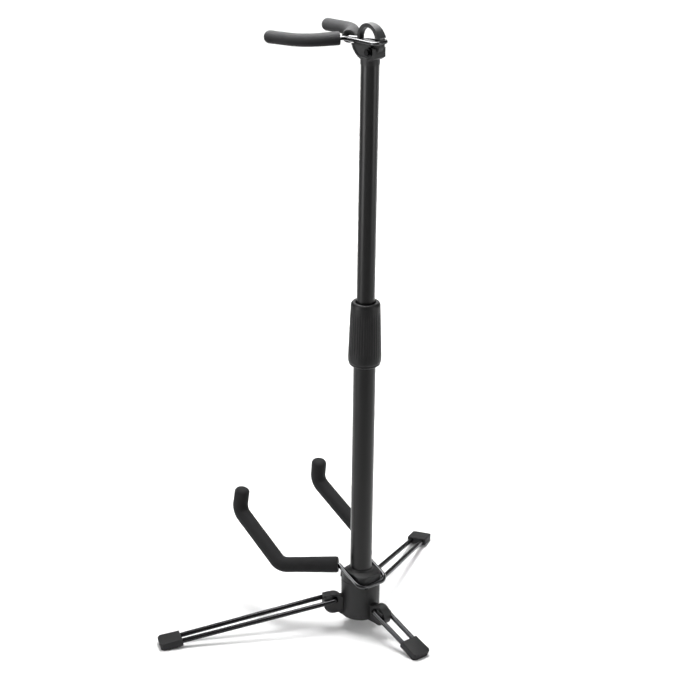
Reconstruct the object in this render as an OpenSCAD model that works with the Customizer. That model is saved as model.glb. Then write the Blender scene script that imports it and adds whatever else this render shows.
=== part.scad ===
// Folding floor stand for a ukulele: three wire legs on a moulded hub, a two-tube mast
// with a twist clutch, a padded wire cradle for the body and a padded wire yoke for the neck.
// Millimetres. +Z is up, the floor is z = 0 and the instrument faces -Y.

/* [Mast] */
// Height of the yoke's wire above the floor, measured at the mast
yoke_height = 613.4; // [500:0.1:760]
// Height of the clutch grip's top edge
grip_top = 354; // [300:0.5:380]
// Outside diameter of the lower tube
lower_tube_d = 22; // [21.4:0.1:27]
// Wall of the lower tube
lower_tube_wall = 1.2; // [0.8:0.1:1.5]
// Outside diameter of the upper tube
upper_tube_d = 17.7; // [14.5:0.1:18.4]
// Wall of the upper tube
upper_tube_wall = 1.1; // [0.8:0.1:1.5]
// Length of upper tube that stays inside the lower tube at rest
tube_overlap = 62; // [50:1:90]

/* [Clutch] */
// Length of the grip
grip_length = 66; // [55:0.5:80]
// Wall of the grip round the sleeve, at its foot
grip_foot_wall = 3.7; // [3.2:0.1:6]
// Wall of the grip round the upper tube, at its head
grip_head_wall = 5.2; // [4.4:0.1:6.5]

/* [Hub] */
// Diameter of the hub's body
hub_d = 39; // [36:0.5:47]
// Height of the hub's underside above the floor
hub_bottom = 14.2; // [12:0.1:20]
// Height of the hub's shoulder above the floor, which sets the height of the cradle too
hub_top = 54.8; // [50:0.1:68]
// Height of the hub cap above the shoulder
cap_rise = 8.7; // [6:0.1:14]

/* [Legs] */
// Distance from the mast to the tip of a front foot
front_reach = 208; // [160:1:260]
// Distance from the mast to the tip of the rear foot
rear_reach = 93; // [80:1:130]
// Angle of each front leg from straight ahead
front_angle = 62; // [52:1:66]
// Diameter of the leg wire
leg_wire_d = 5; // [4:0.1:6]
// Spacing of a leg's two wires at the hub, centre to centre
leg_spread = 15; // [13:0.1:18]
// Spacing of a front leg's two wires at the foot, centre to centre
toe_spread = 11.2; // [9:0.1:13]
// Spacing of the rear leg's two wires at the foot, centre to centre
rear_toe_spread = 13.8; // [11:0.1:14]
// Height of the front legs' pivots
front_pivot_z = 34; // [32:0.1:38]
// Height of the rear leg's pivot
rear_pivot_z = 27.7; // [26:0.1:32]
// Radius of the rounded lug that holds a leg
lug_r = 10.5; // [9:0.1:12]
// Length of a foot
foot_length = 23; // [18:0.5:30]
// Width of a foot
foot_width = 20.4; // [19:0.1:24]
// Thickness of a foot
foot_thick = 7.6; // [7.2:0.1:11]
// Length of the flat under a foot's tip
foot_sole = 3.5; // [2.5:0.1:6]

/* [Cradle] */
// Diameter of the cradle's wire
cradle_wire_d = 4.5; // [3.5:0.1:5.5]
// Outside diameter of the cradle's foam sleeves
cradle_foam_d = 15.8; // [12:0.1:18]
// Half the width of the cradle across its outer bends
cradle_half = 55.7; // [45:0.5:75]
// Reach of the cradle in front of the mast
cradle_reach = 126.4; // [110:0.5:160]
// Height of the cradle's tips above its fold axis
cradle_rise = 71.5; // [58:0.5:100]

/* [Yoke] */
// Diameter of the yoke's wire
yoke_wire_d = 4.2; // [3.2:0.1:4.6]
// Outside diameter of the yoke's foam sleeves
yoke_foam_d = 12.7; // [9:0.1:14]
// Half the width of the yoke at its bends
yoke_half = 33.3; // [28:0.1:45]
// Half the width of the yoke at its tips
yoke_tip_half = 36.7; // [30:0.1:50]
// Length of the yoke from its fold axis to its tips
yoke_length = 120; // [100:1:150]
// How far the yoke slopes down towards its tips
yoke_tilt = 5.8; // [4:0.1:8]
// Outside radius of the arch that holds the yoke
arch_r = 15.8; // [14.5:0.1:20]

/* [Fits] */
// Radial clearance of a shaft that turns or slides in its bore
running_gap = 0.08; // [0.02:0.01:0.1]
// Clearance between separate parts that move past each other
free_gap = 0.3; // [0.2:0.05:0.5]
// Radial clearance of a part that is pushed into its seat
seat_gap = 0.05; // [0.02:0.01:0.1]

/* [Hidden] */

$fn = 64;
rod_sides = 16;
foam_sides = 16;
bend_step = 13;
big = 400;

plastic = "#2b2b2c";
paint = "#1f2022";
rubber = "#1c1c1d";
foam = "#262627";
dark_steel = "#55565a";
bright_steel = "#b9bbbf";

// Tubes
lower_r = lower_tube_d / 2;
lower_in_r = lower_r - lower_tube_wall;
upper_r = upper_tube_d / 2;
upper_in_r = upper_r - upper_tube_wall;
hub_r = hub_d / 2;
hub_floor = 4.3;
recess_depth = 4;
recess_r = 9;
tube_bottom = hub_bottom + recess_depth + hub_floor;
grip_bottom = grip_top - grip_length;
sleeve_bottom = grip_bottom - 1.2;
lower_top = grip_top - 26;
upper_bottom = lower_top - tube_overlap;
saddle_r = arch_r + 3.7;
upper_top = yoke_height - saddle_r - 3.4;

// Screw through the hub's floor into the plug in the lower tube
screw_r = 3;
screw_head_r = 5.6;
screw_head_h = 2.8;
washer_r = 7.6;
washer_h = 1.1;
plug_length = 15;
screw_reach = 13;

// Clutch
sleeve_wall = 1.6;
sleeve_r = lower_r + seat_gap + sleeve_wall;
sleeve_ring_h = 3.2;
sleeve_lip = 2;
collet_h = 17;
collet_foot_r = sleeve_r - 0.3;
collet_head_r = upper_r + 1.7;
collet_slots = 4;
collet_slot_w = 1.5;
grip_bore_r = sleeve_r + running_gap;
grip_mouth_r = upper_r + 0.55;

// Parts at the foot of the upper tube
bush_h = 20;
bush_lip = 2.2;
stem_r = 5.8;
flange_h = 2.2;

// Pegs of the hub's cap, halfway between the tube and the hub's outside
peg_r = min(2.5, (hub_r - lower_r) / 2 - 0.9);
peg_h = 8;
peg_reach = (hub_r + lower_r) / 2;
peg_angle = 38;

// Legs: a leg is laid out along its own x axis, which points outwards and down from its pivot
pivot_reach = hub_r + 7.5;
leg_wire_r = leg_wire_d / 2;
pin_bend = leg_wire_r + 0.1;
pin_end = 1;
toe_bend = 0.96;
lug_t = leg_spread - leg_wire_d - 2 * free_gap;
lug_ahead = [1.6, 3.4];
lug_drop = [4.7, 3.6];
lug_foot_rise = 0.4;
lug_rim = 1.5;
lug_pocket = 0.5;
web_t = lug_t - 2;
web_min_h = 3.6;
stop_start = 3.5;
stop_length = 7.5;
stop_h = 2.6;
front_leg = ["front", front_reach, front_pivot_z, lug_ahead[0], lug_drop[0], true, toe_spread];
rear_leg = ["rear", rear_reach, rear_pivot_z, lug_ahead[1], lug_drop[1], false, rear_toe_spread];
foot_corner = 4;
foot_bevel = 1.5;
toe_half = foot_thick / 2 - foot_bevel;
wire_end_gap = 4.5;

// Cradle: its loop is laid out from the middle of the rear run, forwards being -Y
cradle_wire_r = cradle_wire_d / 2;
cradle_foam_r = cradle_foam_d / 2;
loop_corner = 9;
loop_half = hub_r - 1.2;
loop_back = hub_r + 0.5;
cradle_axis_z = hub_top - 0.8;
cradle_tip_z = cradle_axis_z + cradle_rise;
arm_start = [loop_half - 0.5, 5.7 - hub_r, cradle_axis_z + 15.2];
arm_bend = [cradle_half, -cradle_reach + 67, cradle_axis_z + 9.8];
arm_turn_z = cradle_tip_z - 25.4;
loop_rise = atan2(arm_start[2] - cradle_axis_z, loop_back - arm_start[1]);
cradle_bends = [12, 14, 4.5, loop_corner, loop_corner, 4.5, 14, 12];
sleeve_tip = 4.5;
lip_half = loop_half - loop_corner - 1.2;
lip_out = 1.6;
lip_lean = 0.9;
lip_h = cap_rise - 1.74;
lip_r = (lip_half * lip_half + lip_out * lip_out) / (2 * lip_out);

// Yoke: its loop is laid out from its fold axis, forwards being -Y
yoke_wire_r = yoke_wire_d / 2;
yoke_foam_r = yoke_foam_d / 2;
neck_half = yoke_wire_r + 0.5;
arch_rim = 3.8;
arch_hole_r = arch_r - arch_rim;
arch_floor_z = yoke_height - 1.4;
yoke_loop_half = 8.4;
yoke_corner = 5;
yoke_back = arch_r - 0.8;
yoke_axis_z = yoke_height;
neck_run = 49.3;
bend_run = 72;
arm_bend_r = 36;
yoke_bends = [arm_bend_r, 6, yoke_corner, yoke_corner, 6, arm_bend_r];
arch_half = 3.6;
boss_half = yoke_loop_half - yoke_corner - 0.4;
boss_wall = 2.1;
boss_r = yoke_wire_r + boss_wall;
boss_back = 1.2;
bow_reach = yoke_back + arch_r;
bow_rear_half = yoke_loop_half - yoke_wire_r - free_gap - 0.2;
wires_half_there = neck_half + (yoke_loop_half - neck_half) * (1 - bow_reach / neck_run);
bow_front_half = wires_half_there - yoke_wire_r - free_gap;
slot_half = arch_half + 0.1;
slot_floor_z = yoke_height - 4;
saddle_step_z = yoke_height - 5.4;
saddle_step_y = 7.5;
saddle_half = 7.6;
saddle_back = 12.5;
saddle_recess = 1.2;
saddle_rim = 2.2;
saddle_front = saddle_r - 1.3;
saddle_neck_r = upper_r + 0.35;
clamp_r = 2.5;
clamp_back = 0.39 * arch_r;
clamp_drop = 0.6 * arch_r;
nut_r = 4.6;
nut_h = 2.7;
clamp_head_r = 4.4;
clamp_head_h = 2.6;

// A direction of length 1
function unit(v) = v / norm(v);

// v turned about the unit axis n
function spin(v, n, angle) = v * cos(angle) + cross(n, v) * sin(angle) + n * (n * v) * (1 - cos(angle));

// Angle between two unit directions
function turn(u, w) = acos(max(-1, min(1, u * w)));

// Stations along the corner b of a bent wire that comes from a and goes on to c: [point, direction]
function bend_stations(a, b, c, r) =
    let (
        u = unit(b - a),
        w = unit(c - b),
        angle = turn(u, w),
        n = unit(cross(u, w)),
        steps = max(2, ceil(angle / bend_step)),
        start = b - u * r * tan(angle / 2),
        centre = start + cross(n, u) * r
    )
    [for (k = [0:steps]) let (t = angle * k / steps) [centre + spin(start - centre, n, t), spin(u, n, t)]];

// Centre line of a wire with corners p and one bend radius for each inner corner
function bent(p, r) = [
    [p[0], unit(p[1] - p[0])],
    for (i = [1:len(p) - 2]) each bend_stations(p[i - 1], p[i], p[i + 1], r[i - 1]),
    [p[len(p) - 1], unit(p[len(p) - 1] - p[len(p) - 2])]
];

// Corners mirrored in the plane x = 0, in reverse order
function mirrored(p) = [for (i = [len(p) - 1:-1:0]) [-p[i][0], p[i][1], p[i][2]]];

// Any direction square to u
function square_to(u) = unit(abs(u[2]) < 0.9 ? cross([0, 0, 1], u) : cross([1, 0, 0], u));

// x carried round a bend from the direction a to the direction b, without twist
function carried(x, a, b) = norm(cross(a, b)) < 0.00001 ? x : spin(x, unit(cross(a, b)), turn(a, b));

// Round rod along the stations p, with radius r or one radius for each station
module rod(p, r, sides) {
    last = len(p) - 1;
    across = [
        for (i = 0, x = square_to(p[0][1]);
             i <= last;
             i = i + 1, x = i > last ? x : carried(x, p[i - 1][1], p[i][1])) x
    ];
    points = [
        for (i = [0:last], k = [0:sides - 1])
            p[i][0] + (is_list(r) ? r[i] : r)
                * (cos(360 * k / sides) * across[i] + sin(360 * k / sides) * cross(p[i][1], across[i]))
    ];
    skin = [
        for (i = [0:last - 1], k = [0:sides - 1])
            let (a = i * sides + k, b = i * sides + (k + 1) % sides)
            each [[a, a + sides, b + sides], [a, b + sides, b]]
    ];
    foot = [for (k = [0:sides - 1]) k];
    head = [for (k = [sides - 1:-1:0]) last * sides + k];
    polyhedron(points, concat([foot], skin, [head]));
}

// Foam sleeve with a domed tip, closed round the end of the wire inside it
module sleeve(p, r, wire_r) {
    last = len(p) - 1;
    start = p[0][0];
    forward = p[0][1];
    tip = p[last][0];
    out = p[last][1];
    dome = [[1, 1], [0.55, 0.93], [0.2, 0.78], [0, 0.5]];
    edge = 0.9;
    bends = [for (i = [1:last - 1]) p[i]];
    centre = concat(
        [[start, forward], [start + forward * edge, forward]],
        bends,
        [for (d = dome) [tip - out * sleeve_tip * d[0], out]]
    );
    radii = concat([r - edge * 0.7, r], [for (q = bends) r], [for (d = dome) r * d[1]]);
    core = concat([[start - forward, forward]], bends, [[tip - out * (sleeve_tip + 0.5), out]]);
    difference() {
        rod(centre, radii, foam_sides);
        rod(core, wire_r + seat_gap, rod_sides);
    }
}

// Cradle arm from the loop's rear corner to its tip, on the +X side
cradle_arm = [
    [loop_half, loop_back, cradle_axis_z],
    arm_start,
    arm_bend,
    [cradle_half - 2, -cradle_reach, arm_turn_z],
    [cradle_half - 2.9, -cradle_reach + 2.6, cradle_tip_z - sleeve_tip - 1]
];
cradle_line = bent(concat(mirrored(cradle_arm), cradle_arm), cradle_bends);
cradle_sleeve_line = bent(
    [
        arm_start + unit(arm_bend - arm_start) * 2.4,
        arm_bend,
        cradle_arm[3],
        cradle_arm[4] + unit(cradle_arm[4] - cradle_arm[3]) * (sleeve_tip + 1)
    ],
    [14, 12]);

// Yoke arm from the loop's rear corner to its tip, on the +X side, in the yoke's own plane
yoke_arm = [
    [yoke_loop_half, 0, 0],
    [neck_half, -neck_run, 0],
    [yoke_half, -bend_run, 0],
    [yoke_tip_half, -yoke_length + sleeve_tip + 1, 0]
];
yoke_line = bent(concat(mirrored(yoke_arm), yoke_arm), yoke_bends);
yoke_sleeve_line = bent(
    [
        yoke_arm[1] + unit(yoke_arm[2] - yoke_arm[1]) * 4.2,
        yoke_arm[2],
        yoke_arm[3] + unit(yoke_arm[3] - yoke_arm[2]) * (sleeve_tip + 1)
    ],
    [arm_bend_r]);

// The mast stands behind the middle of the outline, so that the origin is under that middle
front_edge = cradle_foam_r - min([for (q = cradle_sleeve_line) q[0][1]]);
rear_edge = rear_reach;
mast_y = (front_edge - rear_edge) / 2;

// Slope of a leg whose foot stands on the floor with a flat of the given length under its tip
function leg_slope(leg, rounds = 4) = rounds == 0 ? 15 :
    let (s = leg_slope(leg, rounds - 1))
    atan2(leg[2] - foot_thick / 2 * cos(s) + foot_sole * sin(s) + toe_half * sin(s) * tan(s), leg[1] - pivot_reach);
function leg_length(leg) =
    let (s = leg_slope(leg))
    (leg[1] - pivot_reach - toe_half * sin(s)) / cos(s);
function leg_turn(side) = side == 0 ? 90 : -90 + side * front_angle;

module on_mast() {
    translate([0, mast_y, 0]) children();
}

// Places a leg's own frame at its pivot; side is -1, 0 or 1 for left, rear or right
module on_leg(leg, side) {
    on_mast() rotate([0, 0, leg_turn(side)]) translate([pivot_reach, 0, leg[2]])
        rotate([0, leg_slope(leg), 0]) children();
}

// Upright plate outline in the plane through the mast and a leg
module on_lug(side, thick) {
    rotate([90, 0, leg_turn(side)]) linear_extrude(thick, center = true) children();
}

module ring(r_out, r_in, z0, z1) {
    translate([0, 0, z0]) difference() {
        cylinder(r = r_out, h = z1 - z0);
        translate([0, 0, -1]) cylinder(r = r_in, h = z1 - z0 + 2);
    }
}

// Cylinder along X through the point [0, y, z]
module cross_pin(y, z, r, length) {
    translate([0, y, z]) rotate([0, 90, 0]) cylinder(r = r, h = length, center = true);
}

// Disc along X with bevelled rims
module cross_disc(z, r, half, bevel) {
    translate([0, 0, z]) rotate([0, 90, 0]) rotate_extrude()
        polygon([
            [0, -half], [r - bevel, -half], [r, -half + bevel],
            [r, half - bevel], [r - bevel, half], [0, half]
        ]);
}

// Everything above the plane that lies drop below the yoke's wires
module above_yoke(drop) {
    translate([-big / 2, yoke_back, yoke_axis_z]) rotate([yoke_tilt, 0, 0])
        translate([0, -big / 2, -drop]) cube(big);
}

// Height of the flat foot of a lug
function lug_foot_z(leg) = leg[2] - leg[4] - lug_r + lug_foot_rise;

// Outline of a lug, drawn in by inset
module lug_outline(leg, inset) {
    root = hub_r - 6;
    zc = leg[2] - leg[4];
    rc = pivot_reach + leg[3];
    translate([rc, zc]) circle(r = lug_r - inset);
    translate([root, lug_foot_z(leg) + inset]) square([rc - root, lug_r * 1.6 - 2 * inset]);
    if (leg[5]) translate([rc, zc]) square([lug_r * 0.96 - inset, lug_r * 0.9 - inset]);
}

// A lug with a rim round its two sides and a web down to the hub's foot
module lug(leg, side) {
    foot_z = lug_foot_z(leg);
    cutter = 10;
    difference() {
        on_lug(side, lug_t) lug_outline(leg, 0);
        for (face = [-1, 1])
            rotate([90, 0, leg_turn(side)]) translate([0, 0, face * (lug_t / 2 + cutter / 2 - lug_pocket)])
                linear_extrude(cutter, center = true) lug_outline(leg, lug_rim);
    }
    if (foot_z > hub_bottom + web_min_h) on_lug(side, web_t) polygon([
        [hub_r - 4, foot_z + 0.8], [hub_r - 4, hub_bottom + 1.4], [hub_r + 0.3, hub_bottom + 1.6],
        [hub_r + 1.8, hub_bottom + 2.6], [hub_r + 3.6, foot_z - 0.7], [hub_r + 6, foot_z + 0.6],
        [hub_r + 6, foot_z + 0.8]
    ]);
}

// Ledges that stop a leg from opening past its rest position
module leg_stops(leg, side) {
    rotate([0, 0, leg_turn(side)]) translate([pivot_reach, 0, leg[2]]) rotate([0, leg_slope(leg), 0])
        translate([stop_start, -lug_t / 2 - 2, leg_wire_r + free_gap]) cube([stop_length, lug_t + 4, stop_h]);
}

module hub_body() {
    edge = 1.2;
    color(plastic) on_mast() difference() {
        union() {
            rotate_extrude() polygon([
                [0, hub_bottom], [hub_r - edge, hub_bottom], [hub_r, hub_bottom + edge],
                [hub_r, hub_top - edge], [hub_r - edge, hub_top], [0, hub_top]
            ]);
            for (side = [-1, 1]) {
                lug(front_leg, side);
                leg_stops(front_leg, side);
            }
            lug(rear_leg, 0);
            leg_stops(rear_leg, 0);
        }
        translate([0, 0, tube_bottom]) cylinder(r = lower_r + seat_gap, h = big);
        translate([0, 0, hub_bottom - 1]) cylinder(r = recess_r, h = recess_depth + 1);
        translate([0, 0, hub_bottom]) cylinder(r = screw_r + 0.2, h = recess_depth + hub_floor + 1);
        for (side = [-1, 1]) rotate([0, 0, leg_turn(side)]) cross_bore(front_leg);
        on_pegs() translate([0, 0, hub_top - peg_h - 0.5]) cylinder(r = peg_r + seat_gap, h = peg_h + 1);
        rotate([0, 0, leg_turn(0)]) cross_bore(rear_leg);
        rear_notch();
    }
}

// Places a peg on each side of the rear run
module on_pegs() {
    for (side = [-1, 1]) rotate([0, 0, 90 + side * (90 - peg_angle)]) translate([peg_reach, 0, 0]) children();
}

// Bore for the ends of a leg's wire
module cross_bore(leg) {
    translate([pivot_reach, 0, leg[2]]) rotate([90, 0, 0])
        cylinder(r = leg_wire_r + running_gap, h = lug_t + 8, center = true);
}

// Step behind the cap in which the cradle's rear run lies
module rear_notch() {
    room = cradle_wire_r + free_gap;
    translate([-big / 2, loop_back - room, cradle_axis_z - room]) cube(big);
}

module hub_cap() {
    half = loop_half - cradle_wire_r - 1;
    back = loop_back - cradle_wire_r - free_gap;
    front = 14;
    corner_r = norm([loop_half - loop_corner, loop_back - loop_corner]) + loop_corner - cradle_wire_r - 0.5;
    top = hub_top + cap_rise;
    color(plastic) on_mast() difference() {
        union() {
            intersection() {
                translate([-half, -front, hub_top]) cube([2 * half, front + back, big]);
                rotate_extrude() polygon([
                    [0, hub_top], [corner_r, hub_top], [corner_r - 0.5, top - 3.4],
                    [corner_r - 2.2, top - 1.4], [lower_r + 5.2, top - 0.1], [lower_r + 3, top + 0.5], [lower_r + 1.6, top + 1.5],
                    [lower_r + 0.8, top + 3.6], [0, top + 3.6]
                ]);
            }
            // Bulge over the rear run
            intersection() {
                translate([-lip_half, 0, hub_top]) cube([2 * lip_half, big, cap_rise]);
                translate([0, back + lip_out - lip_r, hub_top])
                    cylinder(r1 = lip_r, r2 = lip_r - lip_out - lip_lean, h = lip_h);
            }
            // Pegs into the hub
            on_pegs() translate([0, 0, hub_top - peg_h]) cylinder(r = peg_r, h = peg_h + 1);
            // Ramps under the loop's sides
            intersection() {
                translate([-loop_half - 1, -9, hub_top]) cube([2 * loop_half + 2, 18, cap_rise + 6]);
                translate([0, loop_back, cradle_axis_z]) rotate([-loop_rise, 0, 0])
                    translate([-big / 2, -big, -cradle_wire_r - free_gap - big]) cube(big);
                difference() {
                    translate([0, 0, hub_top]) cylinder(r = hub_r, h = big);
                    translate([-half + 1, -big / 2, 0]) cube([2 * half - 2, big, big]);
                }
            }
        }
        translate([0, 0, hub_top - 1]) cylinder(r = lower_r + seat_gap, h = big);
        cross_pin(loop_back, cradle_axis_z, cradle_wire_r + running_gap, 4 * loop_half);
    }
}

module hub_screw() {
    head_top = hub_bottom + recess_depth - washer_h;
    color(bright_steel) on_mast() difference() {
        union() {
            translate([0, 0, head_top - screw_head_h])
                cylinder(r1 = screw_head_r - 0.8, r2 = screw_head_r, h = screw_head_h);
            translate([0, 0, head_top - 0.5])
                cylinder(r = screw_r, h = washer_h + hub_floor + screw_reach + 0.5);
        }
        for (turn = [0, 90]) rotate([0, 0, turn])
            translate([-0.6, -3, head_top - screw_head_h - 1]) cube([1.2, 6, 2.6]);
    }
}

module hub_washer() {
    top = hub_bottom + recess_depth;
    color(bright_steel) on_mast() ring(washer_r, screw_r + 0.2, top - washer_h, top);
}

module tube_plug() {
    color(plastic) on_mast()
        ring(lower_in_r - seat_gap, screw_r + seat_gap, tube_bottom, tube_bottom + plug_length);
}

module lower_tube() {
    color(paint) on_mast() ring(lower_r, lower_in_r, tube_bottom, lower_top);
}

module clutch_sleeve() {
    color(plastic) on_mast() difference() {
        union() {
            translate([0, 0, sleeve_bottom]) cylinder(r = sleeve_r - 0.7, h = sleeve_ring_h + 1);
            translate([0, 0, sleeve_bottom + sleeve_ring_h])
                cylinder(r = sleeve_r, h = lower_top + sleeve_lip - sleeve_bottom - sleeve_ring_h);
        }
        translate([0, 0, sleeve_bottom - 1])
            cylinder(r = lower_r + seat_gap, h = lower_top - sleeve_bottom + 1);
        translate([0, 0, lower_top - 1]) cylinder(r = upper_r + free_gap, h = 10);
    }
}

module clutch_collet() {
    z0 = lower_top + sleeve_lip;
    color(plastic) on_mast() difference() {
        translate([0, 0, z0]) cylinder(r1 = collet_foot_r, r2 = collet_head_r, h = collet_h);
        translate([0, 0, z0 - 1]) cylinder(r = upper_r + running_gap, h = collet_h + 2);
        for (k = [0:collet_slots - 1]) rotate([0, 0, (k + 0.5) * 360 / collet_slots])
            translate([upper_r - 2, -collet_slot_w / 2, z0 + 5]) cube([8, collet_slot_w, collet_h]);
    }
}

module clutch_grip() {
    foot_r = grip_bore_r + grip_foot_wall;
    head_r = grip_mouth_r + grip_head_wall;
    cone_z = lower_top + sleeve_lip + free_gap;
    cone_top = lower_top + sleeve_lip + collet_h + 0.6;
    color(plastic) on_mast() rotate_extrude($fn = 96) polygon([
        [grip_bore_r, grip_bottom],
        [foot_r - 3, grip_bottom],
        [foot_r - 1.5, grip_bottom + 1.2],
        [foot_r - 0.5, grip_bottom + 3.6],
        [foot_r, grip_bottom + 7.6],
        [foot_r - 0.05, grip_bottom + 10.4],
        [head_r, grip_top - 4.4],
        [head_r - 0.4, grip_top - 2.4],
        [head_r - 1.2, grip_top - 0.9],
        [head_r - 2.6, grip_top],
        [grip_mouth_r + 1, grip_top],
        [grip_mouth_r, grip_top - 1],
        [grip_mouth_r, cone_top],
        [collet_head_r + free_gap, cone_top],
        [collet_foot_r + free_gap, cone_z],
        [grip_bore_r, cone_z]
    ]);
}

module guide_bush() {
    z0 = upper_bottom - bush_lip - 0.1;
    color(rubber) on_mast() difference() {
        translate([0, 0, z0]) cylinder(r = lower_in_r - running_gap, h = bush_h);
        translate([0, 0, z0 - 1]) cylinder(r = stem_r + running_gap, h = bush_h);
        translate([0, 0, z0 + bush_lip]) cylinder(r = upper_r + running_gap, h = bush_h);
    }
}

module end_plug() {
    lip_bottom = upper_bottom - bush_lip - 0.1;
    color(plastic) on_mast() difference() {
        union() {
            translate([0, 0, lip_bottom - 0.1 - flange_h]) cylinder(r = lower_in_r - 1.2, h = flange_h);
            translate([0, 0, lip_bottom - 1]) cylinder(r = stem_r, h = bush_lip + 3);
            translate([0, 0, upper_bottom + 0.5]) cylinder(r = upper_in_r - seat_gap, h = 12);
        }
        translate([0, 0, lip_bottom - 10]) cylinder(r = 3.5, h = 40);
    }
}

module upper_tube() {
    color(paint) on_mast() ring(upper_r, upper_in_r, upper_bottom, upper_top);
}

module yoke_head() {
    spigot = 18;
    color(plastic) on_mast() difference() {
        union() {
            translate([0, 0, upper_top - spigot]) cylinder(r = upper_in_r - seat_gap, h = spigot + 2);
            translate([0, 0, upper_top]) cylinder(r = saddle_neck_r, h = 7);
            difference() {
                cross_disc(yoke_height, saddle_r, saddle_half, 0.6);
                translate([-big / 2, saddle_back, 0]) cube([big, big, 2 * big]);
                translate([-big / 2, -big - saddle_front, 0]) cube([big, big, 2 * big]);
                above_yoke(yoke_wire_r + free_gap);
                translate([-big / 2, saddle_step_y, saddle_step_z]) cube(big);
                for (side = [-1, 1]) saddle_pocket(side);
            }
        }
        cross_pin(0, yoke_height, arch_r + 0.15, 2 * slot_half);
        translate([-slot_half, -big / 2, slot_floor_z]) cube([2 * slot_half, big, big]);
        cross_pin(clamp_back, yoke_height - clamp_drop, clamp_r + 0.1, big / 4);
        translate([0, 0, upper_top - spigot - 1]) cylinder(r = 4, h = spigot + 2);
    }
}

// Shallow pocket in one cheek of the saddle, which leaves a rim along its curve
module saddle_pocket(side) {
    intersection() {
        translate([side * (saddle_half + 5 - saddle_recess), 0, 0])
            cross_pin(0, yoke_height, saddle_r - saddle_rim, 10);
        translate([-big / 2, -big / 2, 0]) cube([big, big / 2 + saddle_back - 1.8, 2 * big]);
    }
}

module yoke_arch() {
    color(plastic) on_mast() difference() {
        union() {
            difference() {
                cross_disc(yoke_height, arch_r, arch_half, 0.5);
                above_yoke(yoke_wire_r + free_gap - 0.2);
            }
            difference() {
                intersection() {
                    cross_disc(yoke_height, arch_r, bow_rear_half, 0.5);
                    above_yoke(yoke_wire_r + free_gap - 0.1);
                    bow_taper();
                }
                cross_pin(yoke_back, yoke_axis_z, boss_r - 0.1, big);
            }
            cross_pin(yoke_back, yoke_axis_z, boss_r, 2 * boss_half);
        }
        difference() {
            intersection() {
                cross_pin(0, yoke_height, arch_hole_r, big / 4);
                translate([-big / 2, -big / 2, arch_floor_z]) cube(big);
            }
            cross_pin(yoke_back, yoke_axis_z, boss_r, big / 2);
        }
        translate([-big / 2, yoke_back + boss_back, 0]) cube([big, big, 2 * big]);
        cross_pin(yoke_back, yoke_axis_z, yoke_wire_r + running_gap, big / 4);
        cross_pin(clamp_back, yoke_height - clamp_drop, clamp_r + 0.1, big / 4);
    }
}

// The room between the yoke's wires, which narrows away from the fold axis, so that the wires
// can swing past the bow
module bow_taper() {
    translate([0, yoke_back, yoke_axis_z]) rotate([0, 90, 0]) rotate_extrude() polygon([
        [0, -bow_rear_half], [bow_reach, -bow_front_half], [bow_reach, bow_front_half], [0, bow_rear_half]
    ]);
}

module yoke_screw() {
    y = clamp_back;
    z = yoke_height - clamp_drop;
    inner = saddle_half - saddle_recess;
    color(dark_steel) on_mast() difference() {
        union() {
            translate([-inner - 0.05, y, z]) rotate([0, 90, 0])
                cylinder(r = clamp_r, h = 2 * inner + nut_h + 2.4);
            translate([-inner - 0.05 - clamp_head_h, y, z]) rotate([0, 90, 0])
                cylinder(r1 = clamp_head_r - 0.7, r2 = clamp_head_r, h = clamp_head_h);
            for (k = [0:2]) translate([inner + nut_h + 0.4 + k * 0.7, y, z]) rotate([0, 90, 0])
                cylinder(r1 = clamp_r, r2 = clamp_r + 0.3, h = 0.45);
        }
        translate([-inner - clamp_head_h - 1, y, z]) rotate([0, 90, 0]) cylinder(r = 1.7, h = 2.4, $fn = 6);
    }
}

module yoke_nut() {
    x = saddle_half - saddle_recess;
    color(dark_steel) on_mast() translate([x + 0.05, clamp_back, yoke_height - clamp_drop]) rotate([0, 90, 0])
        difference() {
            cylinder(r = nut_r, h = nut_h, $fn = 6);
            translate([0, 0, -1]) cylinder(r = clamp_r + seat_gap, h = nut_h + 2);
        }
}

module in_yoke() {
    on_mast() translate([0, yoke_back, yoke_axis_z]) rotate([yoke_tilt, 0, 0]) children();
}

module yoke_wire() {
    color(dark_steel) in_yoke() rod(yoke_line, yoke_wire_r, rod_sides);
}

module yoke_foam(side) {
    color(foam) in_yoke() mirror([side < 0 ? 1 : 0, 0, 0])
        sleeve(yoke_sleeve_line, yoke_foam_r, yoke_wire_r);
}

module cradle_wire() {
    color(dark_steel) on_mast() rod(cradle_line, cradle_wire_r, rod_sides);
}

module cradle_foam(side) {
    color(foam) on_mast() mirror([side < 0 ? 1 : 0, 0, 0])
        sleeve(cradle_sleeve_line, cradle_foam_r, cradle_wire_r);
}

function leg_line(leg) =
    let (tip = leg_length(leg) - wire_end_gap - leg_wire_r, toe = leg[6] / 2, hip = leg_spread / 2)
    bent(
        [[0, -pin_end, 0], [0, -hip, 0], [tip, -toe, 0], [tip, toe, 0], [0, hip, 0], [0, pin_end, 0]],
        [pin_bend, toe * toe_bend, toe * toe_bend, pin_bend]);

module leg_wire(leg, side) {
    color(dark_steel) on_leg(leg, side) rod(leg_line(leg), leg_wire_r, rod_sides);
}

// Foot outline with bevelled edges, seen along the axis that is square to it
module bevelled(x0, x1, half, bevel) {
    polygon([
        [x0, -half + bevel], [x0 + bevel, -half], [x1 - bevel, -half], [x1, -half + bevel],
        [x1, half - bevel], [x1 - bevel, half], [x0 + bevel, half], [x0, half - bevel]
    ]);
}

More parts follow.
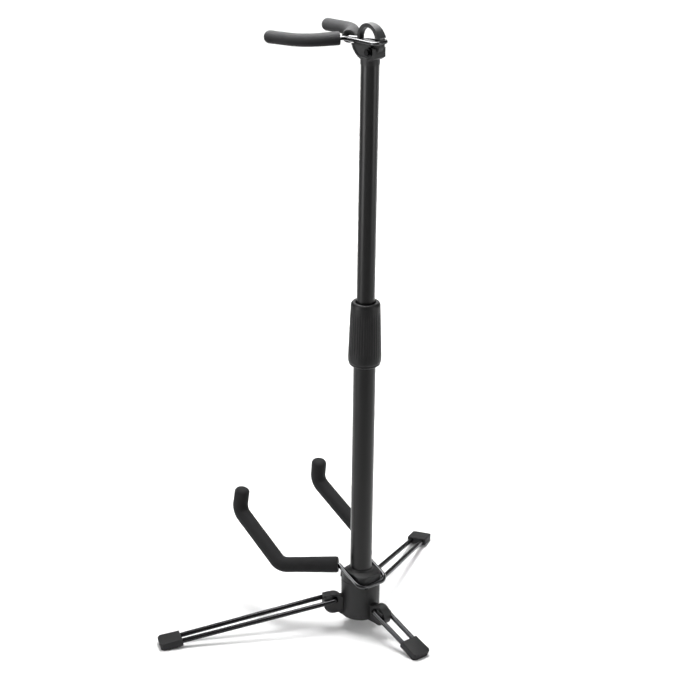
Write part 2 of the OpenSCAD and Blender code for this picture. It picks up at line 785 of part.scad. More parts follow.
module foot(leg, side) {
    tip = leg_length(leg);
    half = foot_width / 2;
    rise = foot_thick / 2;
    color(rubber) difference() {
        on_leg(leg, side) intersection() {
            translate([0, 0, -rise]) linear_extrude(foot_thick) {
                translate([tip - foot_length, -half + 1.2]) square([foot_length - foot_corner, foot_width - 2.4]);
                translate([tip - foot_length + 2, -half]) square([foot_length - foot_corner - 2, foot_width]);
                translate([tip - foot_length, -half + foot_corner])
                    square([foot_length, foot_width - 2 * foot_corner]);
                for (y = [-1, 1]) translate([tip - foot_corner, y * (half - foot_corner)]) circle(r = foot_corner);
            }
            translate([0, half + 1, 0]) rotate([90, 0, 0]) linear_extrude(foot_width + 2)
                bevelled(tip - foot_length, tip, rise, foot_bevel);
            translate([tip - foot_length - 1, 0, 0]) rotate([90, 0, 90]) linear_extrude(foot_length + 2)
                bevelled(-half, half, rise, foot_bevel);
        }
        on_leg(leg, side) rod(leg_line(leg), leg_wire_r + seat_gap, rod_sides);
        translate([-big, -big, -2 * big]) cube(2 * big);
    }
}

hub_body();
hub_cap();
hub_screw();
hub_washer();
tube_plug();
lower_tube();
clutch_sleeve();
clutch_collet();
clutch_grip();
guide_bush();
end_plug();
upper_tube();
yoke_head();
yoke_arch();
yoke_screw();
yoke_nut();
yoke_wire();
yoke_foam(-1);  // yoke_foam_left
yoke_foam(1);  // yoke_foam_right
cradle_wire();
cradle_foam(-1);  // cradle_foam_left
cradle_foam(1);  // cradle_foam_right
leg_wire(front_leg, -1);  // leg_wire_front_left
leg_wire(front_leg, 1);  // leg_wire_front_right
leg_wire(rear_leg, 0);  // leg_wire_rear
foot(front_leg, -1);  // foot_front_left
foot(front_leg, 1);  // foot_front_right
foot(rear_leg, 0);  // foot_rear
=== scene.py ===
from math import atan2, cos, pi, radians, sin, tan

import bmesh
import bpy
from mathutils import Matrix, Quaternion, Vector, noise


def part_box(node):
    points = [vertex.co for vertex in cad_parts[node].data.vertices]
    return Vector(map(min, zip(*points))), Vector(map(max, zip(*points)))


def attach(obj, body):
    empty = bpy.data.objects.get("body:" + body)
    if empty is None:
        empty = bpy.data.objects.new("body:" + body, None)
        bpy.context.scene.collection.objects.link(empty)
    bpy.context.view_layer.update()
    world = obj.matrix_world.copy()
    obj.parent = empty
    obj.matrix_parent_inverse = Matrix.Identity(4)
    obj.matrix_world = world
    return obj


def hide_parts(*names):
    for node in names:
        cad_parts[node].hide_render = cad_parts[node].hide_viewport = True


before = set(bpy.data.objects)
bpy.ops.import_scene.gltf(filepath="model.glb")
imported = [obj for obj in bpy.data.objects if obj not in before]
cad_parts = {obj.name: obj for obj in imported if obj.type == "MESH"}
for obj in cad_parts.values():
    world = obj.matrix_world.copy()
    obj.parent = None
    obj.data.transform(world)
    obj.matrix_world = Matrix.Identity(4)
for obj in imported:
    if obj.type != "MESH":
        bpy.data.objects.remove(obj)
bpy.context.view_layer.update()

MM = 0.001
UP = Vector((0, 0, 1))

# Sizes in millimetres, as in the CAD source. The corners of a wire lie on its centre line.

# The mast stands a little behind the middle of the stand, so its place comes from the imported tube
MAST_Y = (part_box("lower_tube")[0][1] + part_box("lower_tube")[1][1]) / 2 / MM

# Legs: hairpins of wire, each turning on its two bent ends, the pegs, in a lug of the hub. The pegs
# end close to the middle of the lug, and the hairpin's round end is a little tighter than a half circle.
LEG_WIRE_R = 2.5
LEG_SPREAD = 15
PIVOT_REACH = 27
FRONT_ANGLE = 62
PEG_BEND = 2.6
PEG_END = 1
TOE_BEND_SHARE = 0.96

# Rubber feet, each cut flat by the floor along its sole. The wire ends some way inside the tip. The CAD
# bevels the edges of a foot, and the round edge that is drawn here is a little larger than that bevel.
FOOT_LENGTH = 23
FOOT_WIDTH = 20.4
FOOT_THICK = 7.6
FOOT_SOLE = 3.5
FOOT_CORNER = 4
FOOT_BEVEL = 1.5
FOOT_EDGE = 1.6
TOE_HALF = FOOT_THICK / 2 - FOOT_BEVEL
WIRE_END_GAP = 4.5

# Name, side, reach of the foot from the mast, height of the pivot and spread of the wires at the foot
LEGS = [
    ("front_left", -1, 208, 34, 11.2),
    ("front_right", 1, 208, 34, 11.2),
    ("rear", 0, 93, 27.7, 13.8),
]

# Cradle: half of its wire, from the back run round the hub's cap to the tip of an arm, in the mast's
# place, with the radius of the bend at each corner but the last
CRADLE_WIRE_R = 2.25
CRADLE_FOAM_R = 7.9
CRADLE_FOAM_LEAD = 0.6
CRADLE_ARM = [
    Vector((18.3, 20, 54)),
    Vector((17.8, -13.8, 69.2)),
    Vector((55.7, -59.4, 63.8)),
    Vector((53.7, -126.4, 100.1)),
    Vector((52.8, -123.8, 120)),
]
CRADLE_BENDS = [9, 4.5, 14, 12]

# Yoke: half of its wire, from the back run in the arch to the tip of an arm, flat in the yoke's own
# plane, which slopes down towards the tips
YOKE_WIRE_R = 2.1
YOKE_FOAM_R = 6.35
YOKE_FOAM_LEAD = 3.4
YOKE_HEIGHT = 613.4
YOKE_BACK = 15
YOKE_TILT = radians(5.8)
YOKE_ARM = [
    Vector((8.4, 0, 0)),
    Vector((2.6, -49.3, 0)),
    Vector((33.3, -72, 0)),
    Vector((36.7, -114.5, 0)),
]
YOKE_BENDS = [5, 6, 36]

# Grip: the foot's and the head's outside, the bore on the sleeve and the mouth round the upper tube
GRIP_TOP = 354
GRIP_HEIGHT = 66
GRIP_BOTTOM = GRIP_TOP - GRIP_HEIGHT
GRIP_FOOT_R = 16.43
GRIP_HEAD_R = 14.6
GRIP_BORE_R = 12.73
GRIP_MOUTH_R = 9.4


# Materials

def linear(code):
    """An sRGB hex colour as the linear colour that Blender's sockets take."""
    parts = [int(code[i:i + 2], 16) / 255 for i in (1, 3, 5)]
    return [*(c / 12.92 if c <= 0.04045 else ((c + 0.055) / 1.055) ** 2.4 for c in parts), 1]


def add_node(tree, kind, settings=None, values=None, links=None):
    """Adds a node, sets its properties and sockets, and links sockets of other nodes into it."""
    node = tree.nodes.new(kind)
    for key, value in (settings or {}).items():
        setattr(node, key, value)
    for key, value in (values or {}).items():
        node.inputs[key].default_value = value
    for key, (source, output) in (links or {}).items():
        tree.links.new(source.outputs[output], node.inputs[key])
    return node


def new_material(name):
    """A material with an empty node tree, and that tree."""
    material = bpy.data.materials.new(name)
    material.use_nodes = True
    material.node_tree.nodes.clear()
    return material, material.node_tree


def powder_coated_steel():
    """Steel tube in satin black powder coat. The powder melts to a faint orange peel, 1.4 mm across,
    which breaks the long highlights up a little, and the gloss drifts slowly along the tube. The
    matting agent in the powder takes a third off its mirror."""
    material, tree = new_material("powder_coated_steel")
    place = add_node(tree, "ShaderNodeTexCoord")
    peel = add_node(
        tree, "ShaderNodeTexNoise",
        values={"Scale": 1 / (1.4 * MM), "Detail": 2, "Roughness": 0.5},
        links={"Vector": (place, "Object")},
    )
    drift = add_node(
        tree, "ShaderNodeTexNoise",
        values={"Scale": 1 / (40 * MM), "Detail": 3},
        links={"Vector": (place, "Object")},
    )
    gloss = add_node(
        tree, "ShaderNodeMapRange",
        values={"To Min": 0.28, "To Max": 0.34},
        links={"Value": (drift, "Fac")},
    )
    bump = add_node(
        tree, "ShaderNodeBump",
        values={"Strength": 0.12, "Distance": 0.05 * MM},
        links={"Height": (peel, "Fac")},
    )
    shader = add_node(
        tree, "ShaderNodeBsdfPrincipled",
        values={"Base Color": linear("#090909"), "IOR": 1.5, "Specular IOR Level": 0.34},
        links={"Roughness": (gloss, "Result"), "Normal": (bump, "Normal")},
    )
    add_node(tree, "ShaderNodeOutputMaterial", links={"Surface": (shader, "BSDF")})
    return material


def moulded_abs(name, colour, rough, grit, shine):
    """Black ABS from a spark-eroded mould: a fine even grain, grit mm wide, that scatters the light, so
    that its highlights are broad and grey. The grain is drawn coarser than the real 0.1 mm, so that it
    shows, and the gloss drifts with the flow of the plastic. Shine is the share of the mirror, out of
    0.5, that the grain leaves."""
    material, tree = new_material(name)
    place = add_node(tree, "ShaderNodeTexCoord")
    grain = add_node(
        tree, "ShaderNodeTexNoise",
        values={"Scale": 1 / (grit * MM), "Detail": 3, "Roughness": 0.6},
        links={"Vector": (place, "Object")},
    )
    flow = add_node(
        tree, "ShaderNodeTexNoise",
        values={"Scale": 1 / (18 * MM), "Detail": 2},
        links={"Vector": (place, "Object")},
    )
    gloss = add_node(
        tree, "ShaderNodeMapRange",
        values={"To Min": rough - 0.05, "To Max": rough + 0.05},
        links={"Value": (flow, "Fac")},
    )
    bump = add_node(
        tree, "ShaderNodeBump",
        values={"Strength": 0.25, "Distance": 0.06 * MM},
        links={"Height": (grain, "Fac")},
    )
    shader = add_node(
        tree, "ShaderNodeBsdfPrincipled",
        values={"Base Color": linear(colour), "IOR": 1.5, "Specular IOR Level": shine},
        links={"Roughness": (gloss, "Result"), "Normal": (bump, "Normal")},
    )
    add_node(tree, "ShaderNodeOutputMaterial", links={"Surface": (shader, "BSDF")})
    return material


def closed_cell_foam():
    """Extruded black NBR foam tube with its skin on: soft and matte, clouded over 7 mm, with cells that
    pit the skin and a little sheen where the light grazes it. The real cells are half a millimetre
    wide and are drawn at 0.9 mm, so that they show. The pits swallow half of the mirror."""
    material, tree = new_material("closed_cell_foam")
    place = add_node(tree, "ShaderNodeTexCoord")
    cells = add_node(
        tree, "ShaderNodeTexVoronoi",
        values={"Scale": 1 / (0.9 * MM)},
        links={"Vector": (place, "Object")},
    )
    cloud = add_node(
        tree, "ShaderNodeTexNoise",
        values={"Scale": 1 / (7 * MM), "Detail": 3},
        links={"Vector": (place, "Object")},
    )
    tone = add_node(
        tree, "ShaderNodeMix",
        settings={"data_type": "RGBA"},
        values={"A": linear("#101011"), "B": linear("#161617")},
        links={"Factor": (cloud, "Fac")},
    )
    bump = add_node(
        tree, "ShaderNodeBump",
        values={"Strength": 0.6, "Distance": 0.2 * MM},
        links={"Height": (cells, "Distance")},
    )
    shader = add_node(
        tree, "ShaderNodeBsdfPrincipled",
        values={
            "IOR": 1.45, "Specular IOR Level": 0.25, "Roughness": 0.75,
            "Sheen Weight": 0.04, "Sheen Roughness": 0.5,
        },
        links={"Base Color": (tone, "Result"), "Normal": (bump, "Normal")},
    )
    add_node(tree, "ShaderNodeOutputMaterial", links={"Surface": (shader, "BSDF")})
    return material


def plated_steel(name, colour, rough, patchy):
    """Drawn steel with a plated finish: bright and mirror-like, with faint patches, 3 mm wide, where the
    plate is a little duller and spreads the highlights."""
    material, tree = new_material(name)
    place = add_node(tree, "ShaderNodeTexCoord")
    patches = add_node(
        tree, "ShaderNodeTexNoise",
        values={"Scale": 1 / (3 * MM), "Detail": 4, "Roughness": 0.6},
        links={"Vector": (place, "Object")},
    )
    gloss = add_node(
        tree, "ShaderNodeMapRange",
        values={"To Min": rough - patchy, "To Max": rough + patchy},
        links={"Value": (patches, "Fac")},
    )
    shader = add_node(
        tree, "ShaderNodeBsdfPrincipled",
        values={"Base Color": linear(colour), "Metallic": 1},
        links={"Roughness": (gloss, "Result")},
    )
    add_node(tree, "ShaderNodeOutputMaterial", links={"Surface": (shader, "BSDF")})
    return material


def moulded_rubber():
    """Black rubber from a plain mould: dull, with a fine 0.6 mm grain and a bloom that greys it in
    patches of 6 mm."""
    material, tree = new_material("moulded_rubber")
    place = add_node(tree, "ShaderNodeTexCoord")
    bloom = add_node(
        tree, "ShaderNodeTexNoise",
        values={"Scale": 1 / (6 * MM), "Detail": 4},
        links={"Vector": (place, "Object")},
    )
    tone = add_node(
        tree, "ShaderNodeMix",
        settings={"data_type": "RGBA"},
        values={"A": linear("#0c0c0d"), "B": linear("#131314")},
        links={"Factor": (bloom, "Fac")},
    )
    grain = add_node(
        tree, "ShaderNodeTexNoise",
        values={"Scale": 1 / (0.6 * MM), "Detail": 2},
        links={"Vector": (place, "Object")},
    )
    bump = add_node(
        tree, "ShaderNodeBump",
        values={"Strength": 0.2, "Distance": 0.05 * MM},
        links={"Height": (grain, "Fac")},
    )
    shader = add_node(
        tree, "ShaderNodeBsdfPrincipled",
        values={"IOR": 1.5, "Specular IOR Level": 0.35, "Roughness": 0.62},
        links={"Base Color": (tone, "Result"), "Normal": (bump, "Normal")},
    )
    add_node(tree, "ShaderNodeOutputMaterial", links={"Surface": (shader, "BSDF")})
    return material


def studio_paper():
    """Seamless white paper for the floor: matte, with next to no shine."""
    material, tree = new_material("studio_paper")
    shader = add_node(
        tree, "ShaderNodeBsdfPrincipled",
        values={"Base Color": linear("#f4f4f4"), "Roughness": 0.9, "Specular IOR Level": 0.2},
    )
    add_node(tree, "ShaderNodeOutputMaterial", links={"Surface": (shader, "BSDF")})
    return material


tube_paint = powder_coated_steel()
hub_plastic = moulded_abs("moulded_abs", "#0e0e0f", 0.5, 0.45, 0.4)
grip_plastic = moulded_abs("grip_abs", "#0b0b0c", 0.45, 0.5, 0.3)
foam_skin = closed_cell_foam()
black_nickel = plated_steel("black_nickel_wire", "#4b4b4c", 0.17, 0.03)
black_plate = plated_steel("black_plated_wire", "#313132", 0.24, 0.04)
zinc_plate = plated_steel("zinc_plated_steel", "#c8c9cc", 0.24, 0.05)
foot_rubber = moulded_rubber()


def add_piece(name, mesh, material, body, nodes, smooth=35):
    """Puts a mesh in the scene, riding on its body in place of its CAD nodes. Faces that meet at less
    than smooth degrees are shaded as one."""
    piece = bpy.data.objects.new(name, mesh)
    bpy.context.scene.collection.objects.link(piece)
    mesh.materials.clear()
    mesh.materials.append(material)
    mesh.shade_smooth()
    mesh.set_sharp_from_angle(angle=radians(smooth))
    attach(piece, body)
    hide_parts(*nodes)
    return piece


# Bent wires

BEND_STEP = 5
WIRE_SIDES = 24
WIRE_CHAMFER = 0.4


def bent(corners, bends):
    """Stations along a bent wire: each is a point and the wire's direction there. Every corner between
    the ends is rounded by the bend of that radius."""
    stations = [(corners[0], (corners[1] - corners[0]).normalized())]
    for before, corner, after, bend in zip(corners, corners[1:], corners[2:], bends):
        incoming = (corner - before).normalized()
        outgoing = (after - corner).normalized()
        angle = incoming.angle(outgoing)
        axis = incoming.cross(outgoing).normalized()
        start = corner - incoming * bend * tan(angle / 2)
        centre = start + axis.cross(incoming) * bend
        steps = max(2, round(angle / radians(BEND_STEP)))
        for k in range(steps + 1):
            turned = Quaternion(axis, angle * k / steps)
            stations.append((centre + turned @ (start - centre), turned @ incoming))
    stations.append((corners[-1], (corners[-1] - corners[-2]).normalized()))
    return stations


def mirrored(corners):
    """The same corners on the other side of the mast, in reverse order."""
    return [Vector((-c.x, c.y, c.z)) for c in reversed(corners)]


def divided(stations, length):
    """The same stations with more between them, so that they are about length apart at most."""
    result = [stations[0]]
    for (a, ta), (b, tb) in zip(stations, stations[1:]):
        pieces = max(1, round((b - a).length / length))
        for k in range(1, pieces):
            result.append((a.lerp(b, k / pieces), ta.lerp(tb, k / pieces).normalized()))
        result.append((b, tb))
    return result


def shifted(stations, move):
    """Stations after a move that keeps shapes: a matrix of a turn, a shift or a reflection."""
    turn = move.to_3x3()
    return [(move @ p, (turn @ t).normalized()) for p, t in stations]


def strip_faces(rings, sides):
    """The faces between rings of vertices that lie one after another."""
    faces = []
    for i in range(rings - 1):
        for k in range(sides):
            a = i * sides + k
            b = i * sides + (k + 1) % sides
            faces.append([a, b, b + sides, a + sides])
    return faces


def swept_mesh(name, rings, sides):
    """A closed skin through rings, each a point, a direction and a radius."""
    before = rings[0][1]
    across = (UP if abs(before.z) < 0.9 else Vector((1, 0, 0))).cross(before).normalized()
    vertices = []
    for point, direction, radius in rings:
        across = before.rotation_difference(direction) @ across
        across = (across - direction * across.dot(direction)).normalized()
        before = direction
        other = direction.cross(across)
        for k in range(sides):
            angle = 2 * pi * k / sides
            vertices.append((point + (across * cos(angle) + other * sin(angle)) * radius) * MM)
    first_end = list(range(sides))[::-1]
    last_end = [(len(rings) - 1) * sides + k for k in range(sides)]
    mesh = bpy.data.meshes.new(name)
    mesh.from_pydata(vertices, [], [first_end, *strip_faces(len(rings), sides), last_end])
    mesh.update()
    return mesh


def wire_mesh(name, stations, radius):
    """A round wire with its two ends slightly chamfered."""
    (start, forward), (end, out) = stations[0], stations[-1]
    rings = [
        (start, forward, radius - WIRE_CHAMFER),
        (start + forward * WIRE_CHAMFER, forward, radius),
        *((p, t, radius) for p, t in stations[1:-1]),
        (end - out * WIRE_CHAMFER, out, radius),
        (end, out, radius - WIRE_CHAMFER),
    ]
    return swept_mesh(name, rings, WIRE_SIDES)


# Cradle and yoke, each a loop of wire with a foam sleeve on either arm

FOAM_SIDES = 40
FOAM_GAP = 0.06

# The tip: its dome's height, how far it reaches past the wire, and a sweep that stops short of the
# pole and leaves a small flat there. A fullness under one makes the dome blunter than a half ball.
TIP_DOME = 4.5
TIP_PAST_WIRE = TIP_DOME + 1
DOME_STEPS = 8
DOME_SWEEP = 90 / 1.05
DOME_FULLNESS = 0.62

# The skin: how often it is drawn, and, as shares of its radius, its mean, its wander and its swell
SKIN_STEP = 2.5
SKIN_SHARE = 0.985
WANDER = 0.012
WANDER_PER_MM = 0.09
SWELL = 0.05
SWELL_LENGTH = 40


def sleeve_mesh(name, stations, radius, bore):
    """A foam sleeve with an open end round the wire and a domed tip. Its skin wanders by about one
    percent, as soft tube does, and swells towards the open end, where it was pushed up the wire."""
    (start, forward), (tip, out) = stations[0], stations[-1]
    mouth = [
        (5, bore), (0.5, bore), (0.05, bore + 0.5),
        (0, radius - 0.8), (0.25, radius - 0.2), (0.9, radius),
    ]
    rings = [(start + forward * along, forward, r) for along, r in mouth]
    skin = [(start + forward * 2, forward), *stations[1:-1], (tip - out * TIP_DOME, out)]
    for point, direction in divided(skin, SKIN_STEP):
        swell = SWELL * max(0, 1 - (point - start).length / SWELL_LENGTH)
        uneven = WANDER * noise.noise(point * WANDER_PER_MM)
        rings.append((point, direction, radius * (SKIN_SHARE + uneven + swell)))
    for k in range(1, DOME_STEPS + 1):
        angle = radians(DOME_SWEEP * k / DOME_STEPS)
        narrowed = cos(angle) ** DOME_FULLNESS
        rings.append((tip - out * TIP_DOME * (1 - sin(angle)), out, radius * SKIN_SHARE * narrowed))
    return swept_mesh(name, rings, FOAM_SIDES)


def sleeved_loop(part, arm, bends, wire_r, foam_r, lead, place):
    """A loop of wire from one arm's tip round its back run to the other's, and a sleeve on each arm that
    starts lead mm past the arm's first bend."""
    loop = shifted(bent(mirrored(arm) + arm, bends[::-1] + bends), place)
    add_piece(
        f"{part}_loop", wire_mesh(f"{part}_loop", loop, wire_r),
        black_nickel, part, [f"{part}_wire"],
    )
    outward = (arm[2] - arm[1]).normalized()
    tip = arm[-1] + (arm[-1] - arm[-2]).normalized() * TIP_PAST_WIRE
    sleeve = bent([arm[1] + outward * lead, *arm[2:-1], tip], bends[2:])
    for label, side in (("right", 1), ("left", -1)):
        name = f"{part}_sleeve_{label}"
        line = shifted(sleeve, place @ Matrix.Diagonal((side, 1, 1, 1)))
        foam = add_piece(
            name, sleeve_mesh(name, line, foam_r, wire_r + FOAM_GAP),
            foam_skin, part, [f"{part}_foam_{label}"], smooth=50,
        )


on_mast = Matrix.Translation((0, MAST_Y, 0))
in_yoke = (
    Matrix.Translation((0, MAST_Y + YOKE_BACK, YOKE_HEIGHT))
    @ Matrix.Rotation(YOKE_TILT, 4, "X")
)

sleeved_loop("cradle", CRADLE_ARM, CRADLE_BENDS, CRADLE_WIRE_R, CRADLE_FOAM_R, CRADLE_FOAM_LEAD, on_mast)
sleeved_loop("yoke", YOKE_ARM, YOKE_BENDS, YOKE_WIRE_R, YOKE_FOAM_R, YOKE_FOAM_LEAD, in_yoke)


# Legs and feet

# A foot's outline: the angle between points of a round corner, and the chamfer of its open end
FOOT_CORNER_STEP = 10
FOOT_CHAMFER_ALONG = 0.8
FOOT_CHAMFER_ACROSS = 0.5


def leg_frame(side, reach, pivot_z):
    """A leg's own frame, x outwards and down from its pivot, and its length to the tip of the foot. The
    tip has to come to the floor at its reach, and how far it drops depends on the slope, so the slope
    is found in a few rounds, from a guess."""
    slope = radians(15)
    run = reach - PIVOT_REACH
    for _ in range(4):
        sole = FOOT_SOLE * sin(slope) + TOE_HALF * sin(slope) * tan(slope)
        drop = pivot_z - FOOT_THICK / 2 * cos(slope) + sole
        slope = atan2(drop, run)
    heading = radians(90 if side == 0 else -90 + side * FRONT_ANGLE)
    place = (
        on_mast
        @ Matrix.Rotation(heading, 4, "Z")
        @ Matrix.Translation((PIVOT_REACH, 0, pivot_z))
        @ Matrix.Rotation(slope, 4, "Y")
    )
    return place, (run - TOE_HALF * sin(slope)) / cos(slope)


def foot_outline(tip):
    """A foot seen from above, from the open end's left corner round the tip to its right one."""
    open_end = tip - FOOT_LENGTH
    half = FOOT_WIDTH / 2
    chamfer_end = open_end + FOOT_CHAMFER_ALONG
    chamfer_half = half - FOOT_CHAMFER_ACROSS
    outline = [(open_end, -chamfer_half), (chamfer_end, -half)]
    for side, turn in ((-1, 270), (1, 0)):
        for degrees in range(turn + FOOT_CORNER_STEP // 2, turn + 90, FOOT_CORNER_STEP):
            outline.append((
                tip - FOOT_CORNER + FOOT_CORNER * cos(radians(degrees)),
                side * (half - FOOT_CORNER) + FOOT_CORNER * sin(radians(degrees)),
            ))
    return outline + [(chamfer_end, half), (open_end, chamfer_half)]


def foot_mesh(name, place, tip):
    """A rubber foot: a block with rounded edges whose sole is cut flat by the floor."""
    form = bmesh.new()
    outline = foot_outline(tip)
    lower = [form.verts.new((x, y, -FOOT_THICK / 2)) for x, y in outline]
    upper = [form.verts.new((x, y, FOOT_THICK / 2)) for x, y in outline]
    form.faces.new(lower[::-1])
    form.faces.new(upper)
    for k in range(len(outline)):
        after = (k + 1) % len(outline)
        form.faces.new((lower[k], lower[after], upper[after], upper[k]))
    rims = [e for e in form.edges if e.verts[0].co.z == e.verts[1].co.z]
    bmesh.ops.bevel(
        form, geom=rims, offset=FOOT_EDGE, offset_type="OFFSET",
        segments=5, profile=0.5, affect="EDGES", clamp_overlap=True,
    )
    form.transform(place)
    bmesh.ops.bisect_plane(
        form, geom=form.verts[:] + form.edges[:] + form.faces[:], plane_co=(0, 0, 0), plane_no=(0, 0, -1),
        clear_outer=True,
    )
    bmesh.ops.holes_fill(form, edges=[e for e in form.edges if e.is_boundary], sides=0)
    bmesh.ops.recalc_face_normals(form, faces=form.faces[:])
    form.transform(Matrix.Scale(MM, 4))
    mesh = bpy.data.meshes.new(name)
    form.to_mesh(mesh)
    form.free()
    return mesh


for label, side, reach, pivot_z, toe_spread in LEGS:
    place, tip = leg_frame(side, reach, pivot_z)
    end = tip - WIRE_END_GAP - LEG_WIRE_R
    toe = toe_spread / 2
    hip = LEG_SPREAD / 2
    half = [Vector((end, toe, 0)), Vector((0, hip, 0)), Vector((0, PEG_END, 0))]
    hairpin = [Vector((c.x, -c.y, 0)) for c in reversed(half)] + half
    toe_bend = toe * TOE_BEND_SHARE
    line = shifted(bent(hairpin, [PEG_BEND, toe_bend, toe_bend, PEG_BEND]), place)
    add_piece(
        f"leg_hairpin_{label}", wire_mesh(f"leg_hairpin_{label}", line, LEG_WIRE_R),
        black_plate, f"leg_{label}", [f"leg_wire_{label}"],
    )
    add_piece(
        f"leg_foot_{label}", foot_mesh(f"leg_foot_{label}", place, tip),
        foot_rubber, f"leg_{label}", [f"foot_{label}"], smooth=40,
    )


# Grip

GRIP_SIDES = 288

# The domed rim's height and inward reach, and where the straight taper starts above the foot, and how
# far inside the foot's outline
GRIP_DOME_RISE = 4.4
GRIP_DOME_REACH = 3
GRIP_DOME_STEPS = 8
TAPER_START = 10.4
TAPER_INSET = 0.05
TAPER_STEPS = 24

# The flutes: how many, how deep, how far above the foot they start and under the top they stop, and the
# length over which they fade
FLUTES = 36
FLUTE_DEPTH = 0.35
FLUTE_START = 9
FLUTE_STOP = 8
FLUTE_FADE = 4


def grip_profile():
    """Radius and height from the bore up the outside to the mouth: a rolled foot with a groove over it,
    a straight taper, a domed rim and the mouth's rounded edge."""
    foot = [
        (GRIP_BORE_R, 6), (GRIP_BORE_R, 0.6), (GRIP_BORE_R + 0.5, 0),
        (GRIP_FOOT_R - 3.2, 0), (GRIP_FOOT_R - 2.2, 0.5), (GRIP_FOOT_R - 1.2, 1.4),
        (GRIP_FOOT_R - 0.9, 2.2), (GRIP_FOOT_R - 1.2, 2.8), (GRIP_FOOT_R - 1.1, 3.3),
        (GRIP_FOOT_R - 0.5, 3.8), (GRIP_FOOT_R - 0.2, 4.8), (GRIP_FOOT_R - 0.06, 6.2), (GRIP_FOOT_R, 8),
    ]
    profile = [(radius, GRIP_BOTTOM + up) for radius, up in foot]
    low_r = GRIP_FOOT_R - TAPER_INSET
    low_z = GRIP_BOTTOM + TAPER_START
    rim_z = GRIP_TOP - GRIP_DOME_RISE
    for k in range(TAPER_STEPS + 1):
        share = k / TAPER_STEPS
        profile.append((low_r + (GRIP_HEAD_R - low_r) * share, low_z + (rim_z - low_z) * share))
    for k in range(1, GRIP_DOME_STEPS + 1):
        angle = radians(90 * k / GRIP_DOME_STEPS)
        inward = GRIP_DOME_REACH * (1 - cos(angle))
        profile.append((GRIP_HEAD_R - inward, rim_z + GRIP_DOME_RISE * sin(angle)))
    mouth = [(1.2, 0.05), (0.5, 0.35), (0.1, 1), (0, 2), (0, 8)]
    return profile + [(GRIP_MOUTH_R + out, GRIP_TOP - down) for out, down in mouth]


def grip_mesh():
    """The clutch grip with faint flutes down its sides, which fade out over its foot and under its rim."""
    profile = grip_profile()
    vertices = []
    for radius, z in profile:
        from_foot = z - GRIP_BOTTOM - FLUTE_START
        from_rim = GRIP_TOP - FLUTE_STOP - z
        fade = max(0, min(1, from_foot / FLUTE_FADE, from_rim / FLUTE_FADE))
        for k in range(GRIP_SIDES):
            angle = 2 * pi * k / GRIP_SIDES
            r = radius - FLUTE_DEPTH * fade * max(0, cos(FLUTES * angle)) ** 2
            vertices.append((r * cos(angle) * MM, (MAST_Y + r * sin(angle)) * MM, z * MM))
    mesh = bpy.data.meshes.new("grip_shell")
    mesh.from_pydata(vertices, [], strip_faces(len(profile), GRIP_SIDES))
    mesh.update()
    return mesh


add_piece("grip_shell", grip_mesh(), grip_plastic, "grip", ["clutch_grip"], smooth=50)


# Mouldings that keep their CAD shape, with the rounded edges that a mould gives

# Vertices closer than this are one, faces that meet at less than the flat angle are joined, and edges
# sharper than the edge angle are rounded
MERGE_REACH = 0.002
FLAT_ANGLE = radians(0.6)
EDGE_ANGLE = radians(32)


def moulded(node, name, body, edge):
    """A copy of a CAD node with its flat faces joined and its edges rounded to edge mm."""
    form = bmesh.new()
    form.from_mesh(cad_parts[node].data)
    bmesh.ops.remove_doubles(form, verts=form.verts[:], dist=MERGE_REACH * MM)
    bmesh.ops.dissolve_limit(form, angle_limit=FLAT_ANGLE, verts=form.verts[:], edges=form.edges[:])
    mesh = bpy.data.meshes.new(name)
    form.to_mesh(mesh)
    form.free()
    piece = add_piece(name, mesh, hub_plastic, body, [node])
    bevel = piece.modifiers.new("mould_edge", "BEVEL")
    bevel.width = edge * MM
    bevel.segments = 3
    bevel.limit_method = "ANGLE"
    bevel.angle_limit = EDGE_ANGLE
    bevel.use_clamp_overlap = True
    bevel.harden_normals = True


moulded("hub_body", "hub_moulding", "base", 0.5)
moulded("hub_cap", "hub_cap_moulding", "base", 0.6)
moulded("yoke_head", "saddle_moulding", "mast", 0.4)
moulded("yoke_arch", "arch_moulding", "mast", 0.4)


# Pieces that are shown as their CAD nodes

CAD_FINISHES = {
    "hub_screw": zinc_plate,
    "hub_washer": zinc_plate,
    "tube_plug": hub_plastic,
    "lower_tube": tube_paint,
    "clutch_sleeve": hub_plastic,
    "clutch_collet": hub_plastic,
    "guide_bush": hub_plastic,
    "end_plug": hub_plastic,
    "upper_tube": tube_paint,
    "yoke_screw": black_plate,
    "yoke_nut": black_plate,
}
for node, material in CAD_FINISHES.items():
    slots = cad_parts[node].data.materials
    slots.clear()
    slots.append(material)


# Camera, solved from the photograph: its turn round the mast, then its tilt, and its place from there

VIEW_TURN = radians(136.86)
PITCH = radians(22.19)
YAW = radians(-0.65)
ROLL = radians(-0.81)
CAMERA_PLACE = Vector((1453.5, 1550.8 + MAST_Y, 1180.1)) * MM
SENSOR = 36
FOCAL = 125

to_model = Matrix.Rotation(VIEW_TURN, 3, "Z")
ahead = to_model @ Vector((sin(YAW) * cos(PITCH), cos(YAW) * cos(PITCH), -sin(PITCH)))
level = to_model @ Vector((cos(YAW), -sin(YAW), 0))
down = ahead.cross(level)
image_right = level * cos(ROLL) + down * sin(ROLL)
image_down = down * cos(ROLL) - level * sin(ROLL)

lens = bpy.data.cameras.new("camera")
lens.sensor_width = SENSOR
lens.sensor_fit = "HORIZONTAL"
lens.lens = FOCAL
camera = bpy.data.objects.new("camera", lens)
axes = Matrix((image_right, -image_down, -ahead)).transposed()
camera.matrix_world = Matrix.Translation(CAMERA_PLACE) @ axes.to_4x4()
bpy.context.scene.collection.objects.link(camera)
bpy.context.scene.camera = camera


# Floor and lights, in metres. Right is to the camera's right, near is towards it.

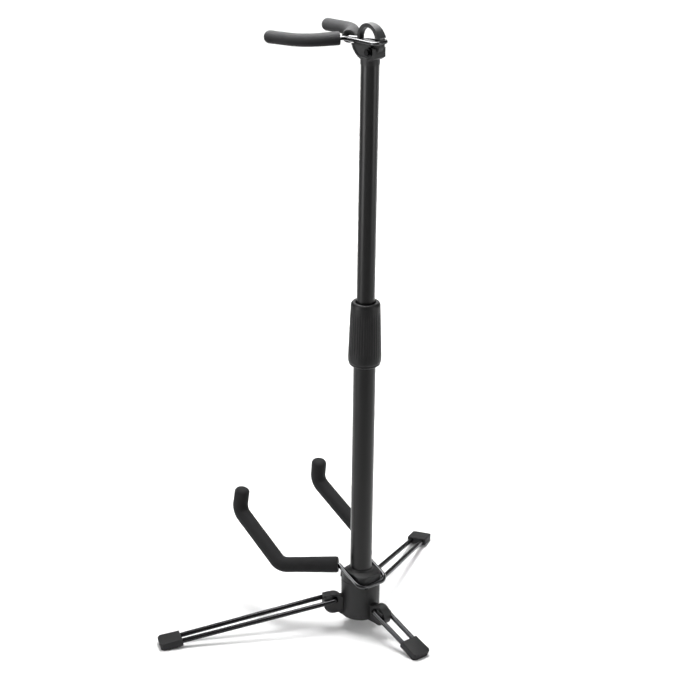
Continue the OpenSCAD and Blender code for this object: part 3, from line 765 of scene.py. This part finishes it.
FLOOR_HALF = 9
RIGHT = to_model @ Vector((1, 0, 0))
NEAR = to_model @ Vector((0, -1, 0))

floor_mesh = bpy.data.meshes.new("floor")
corners = [(x * FLOOR_HALF, y * FLOOR_HALF, 0) for x, y in ((-1, -1), (1, -1), (1, 1), (-1, 1))]
floor_mesh.from_pydata(corners, [], [(0, 1, 2, 3)])
floor_mesh.materials.append(studio_paper())
floor = bpy.data.objects.new("floor", floor_mesh)
bpy.context.scene.collection.objects.link(floor)

world = bpy.data.worlds.new("studio")
world.use_nodes = True
world.node_tree.nodes["Background"].inputs["Color"].default_value = linear("#ffffff")
world.node_tree.nodes["Background"].inputs["Strength"].default_value = 0.2
bpy.context.scene.world = world
bpy.context.scene.view_settings.view_transform = "Standard"


def round_stand(degrees):
    """The direction from the mast at an angle to the camera's, positive to its right."""
    return NEAR * cos(radians(degrees)) + RIGHT * sin(radians(degrees))


def softbox(name, place, aim, size, watts, spread=180):
    """A rectangular softbox that looks at a point, itself out of the picture."""
    lamp = bpy.data.lights.new(name, "AREA")
    lamp.shape = "RECTANGLE"
    lamp.size, lamp.size_y = size
    lamp.energy = watts
    lamp.spread = radians(spread)
    holder = bpy.data.objects.new(name, lamp)
    holder.location = place
    holder.rotation_euler = (aim - place).to_track_quat("-Z", "Y").to_euler()
    holder.visible_camera = False
    bpy.context.scene.collection.objects.link(holder)


# Two tall softboxes draw the long highlights down the tubes, a small one lights the tops of the sleeves
# and the wires, and one behind the stand parts its far edges from the floor
STRIP = (0.45, 1.1)
OVER_YOKE = Vector((0, -0.1, 0.77))
softbox("left", round_stand(-62) + UP * 0.6, UP * 0.5, STRIP, 7.5)
softbox("right", round_stand(68) + UP * 0.6, UP * 0.5, STRIP, 3.6)
softbox("overhead", OVER_YOKE, OVER_YOKE - UP, (0.22, 0.3), 4)
softbox("back", UP - NEAR * 1.1, UP * 0.6, (1, 0.4), 5)

# Ceiling panels light the floor alone. The one behind the stand begins close to it. The others stay
# further off, because the black tubes mirror the floor up to 1.6 m in front of them. Each row has the
# panel's middle, its size across and along the camera's view, and its share of the full light.
CEILING = 1.3
CEILING_SPREAD = 60
WATTS_PER_M2 = 3.4
PANELS = [
    (-NEAR * 2.12, 3, 3.7, 1),
    (-NEAR * 5.9, 12.6, 3.8, 1),
    (NEAR * 0.4 + RIGHT * 4.3, 4, 8.8, 0.6),
    (NEAR * 0.4 - RIGHT * 4.3, 4, 8.8, 0.6),
    (NEAR * 4.1, 4.6, 4.2, 0.5),
    (NEAR * 2 + RIGHT * 2, 1.3, 1.3, 0.6),
    (NEAR * 2 - RIGHT * 2, 1.3, 1.3, 0.6),
]
# A panel aims a hair off the plumb line, which lines its sides up with the camera's view
OFF_PLUMB = -NEAR * 0.0001
for middle, across, along, share in PANELS:
    watts = WATTS_PER_M2 * across * along * share
    above = middle + UP * CEILING
    softbox("ceiling", above, middle + OFF_PLUMB, (across, along), watts, CEILING_SPREAD)
